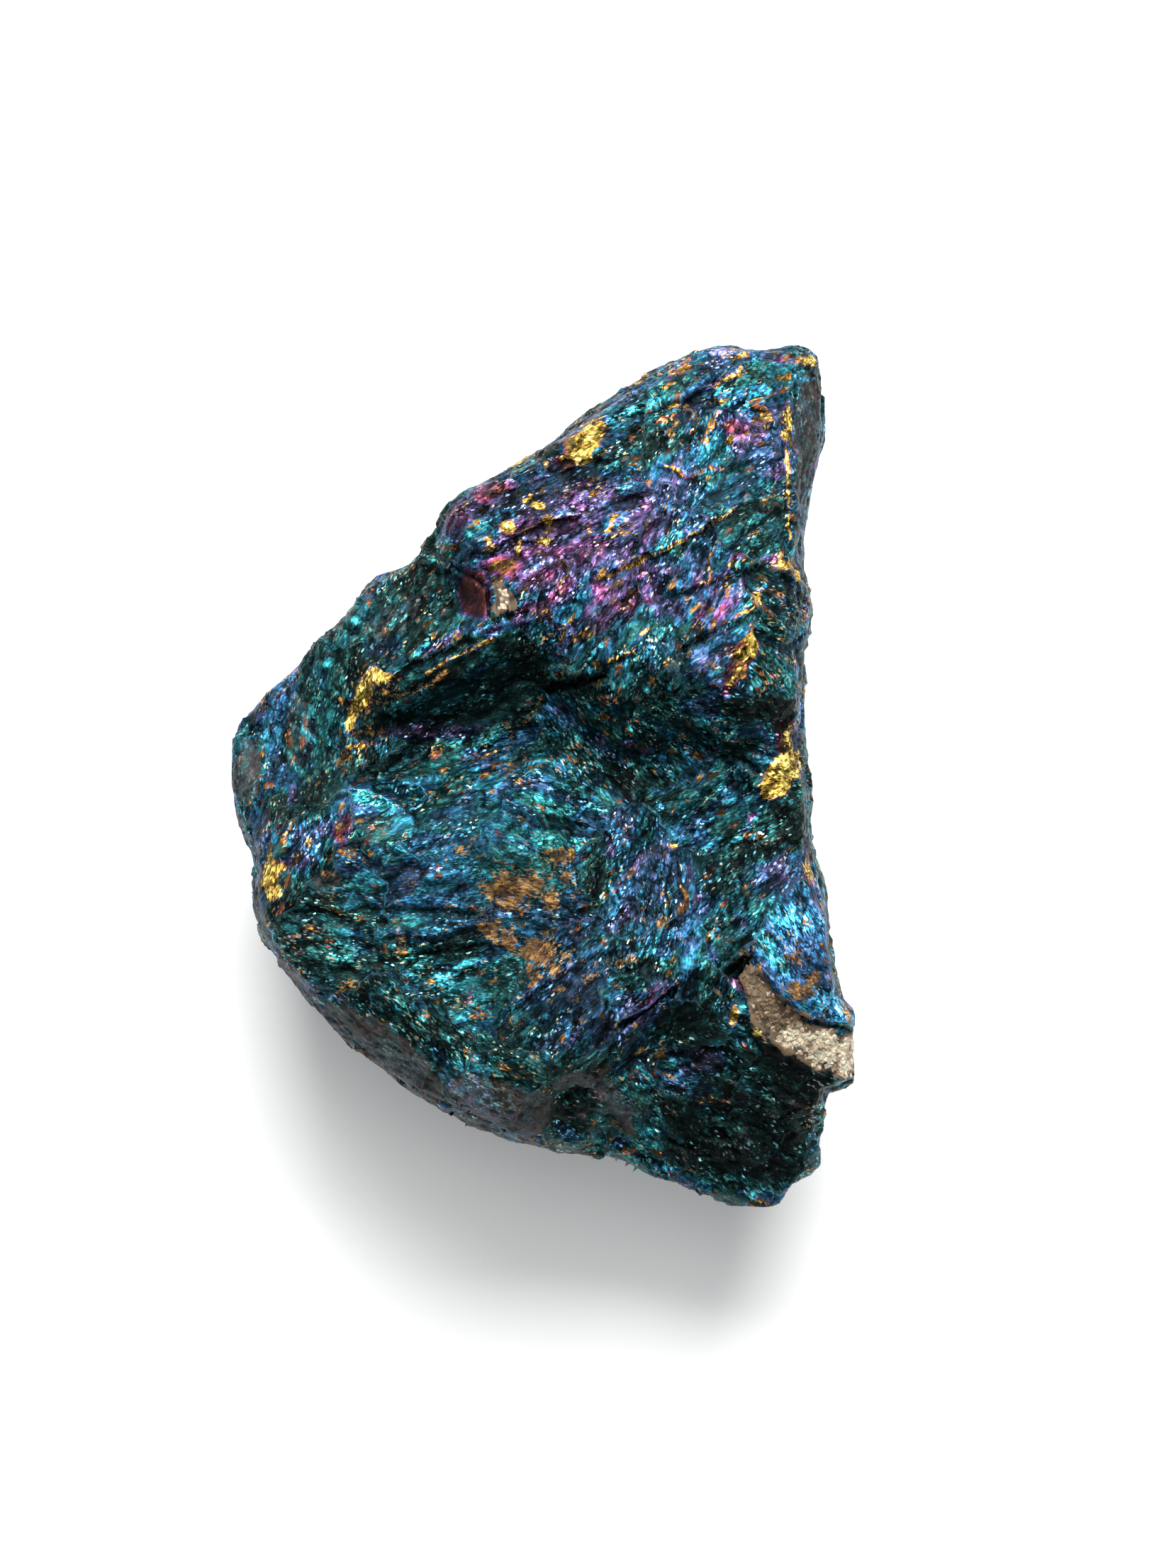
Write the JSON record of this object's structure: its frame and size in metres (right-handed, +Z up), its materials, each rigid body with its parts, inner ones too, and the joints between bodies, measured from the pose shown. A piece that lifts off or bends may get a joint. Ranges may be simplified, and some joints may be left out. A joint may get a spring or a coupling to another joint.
{
  "type": "peacock ore",
  "caption": "Small broken chunk of iridescent peacock ore with stepped fracture faces and a thin pale vein, resting on a small flat spot.",
  "frame": {"origin": "under the middle of the chunk's box, on the surface that its flat spot rests on", "axes": "+Z up, square to the flat spot and out through the broad broken face; +Y along the longest way, towards the narrow end; +X across, towards the straight edge"},
  "size_m": [0.0306, 0.0424, 0.0208],
  "materials": {
    "tarnished_ore": "metallic tarnish in teal, blue, purple, magenta, orange and brass gold over a grainy, stepped fracture"
  },
  "bodies": {
    "root": {"peacock_ore": "tarnished_ore"}
  },
  "joints": []
}
